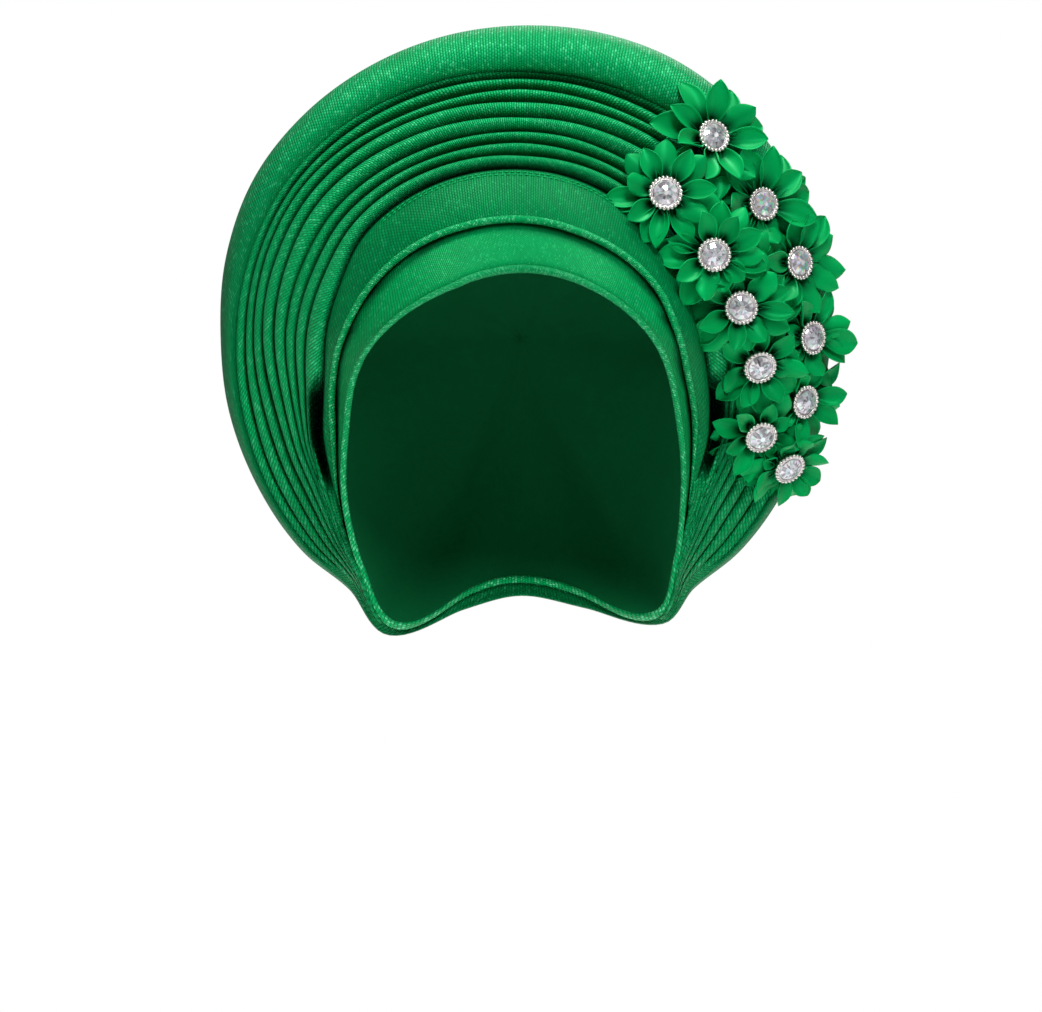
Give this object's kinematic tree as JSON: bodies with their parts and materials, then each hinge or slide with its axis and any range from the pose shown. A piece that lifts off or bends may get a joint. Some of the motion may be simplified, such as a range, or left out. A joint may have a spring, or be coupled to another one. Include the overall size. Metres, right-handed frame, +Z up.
{
  "type": "ready-tied gele head tie",
  "caption": "Ready-tied head wrap: a close cap with a face band, a brow band, a pleated halo and a rounded crown, with ribbon flowers and clear stones down one side.",
  "frame": {"origin": "crown of the head inside the cap, where the head tie sits", "axes": "+Z up, the face looks along -Y, +X to the right as seen from the front"},
  "size_m": [0.2526, 0.2031, 0.2433],
  "materials": {
    "glitter_cloth": "ribbed green cloth with fine glitter",
    "satin_ribbon": "glossy green satin ribbon",
    "silver_setting": "bright beaded silver rim",
    "crystal": "faceted clear stone with iridescent tints"
  },
  "bodies": {
    "root": {"head_cap": "glitter_cloth", "brow_band": "glitter_cloth", "pleated_fan": "glitter_cloth", "crown_roll": "glitter_cloth", "flower_01": "satin_ribbon", "flower_02": "satin_ribbon", "flower_03": "satin_ribbon", "flower_04": "satin_ribbon", "flower_05": "satin_ribbon", "flower_06": "satin_ribbon", "flower_07": "satin_ribbon", "flower_08": "satin_ribbon", "flower_09": "satin_ribbon", "flower_10": "satin_ribbon", "flower_11": "satin_ribbon", "setting_01": "silver_setting", "setting_02": "silver_setting", "setting_03": "silver_setting", "setting_04": "silver_setting", "setting_05": "silver_setting", "setting_06": "silver_setting", "setting_07": "silver_setting", "setting_08": "silver_setting", "setting_09": "silver_setting", "setting_10": "silver_setting", "setting_11": "silver_setting", "stone_01": "crystal", "stone_02": "crystal", "stone_03": "crystal", "stone_04": "crystal", "stone_05": "crystal", "stone_06": "crystal", "stone_07": "crystal", "stone_08": "crystal", "stone_09": "crystal", "stone_10": "crystal", "stone_11": "crystal"}
  },
  "joints": []
}
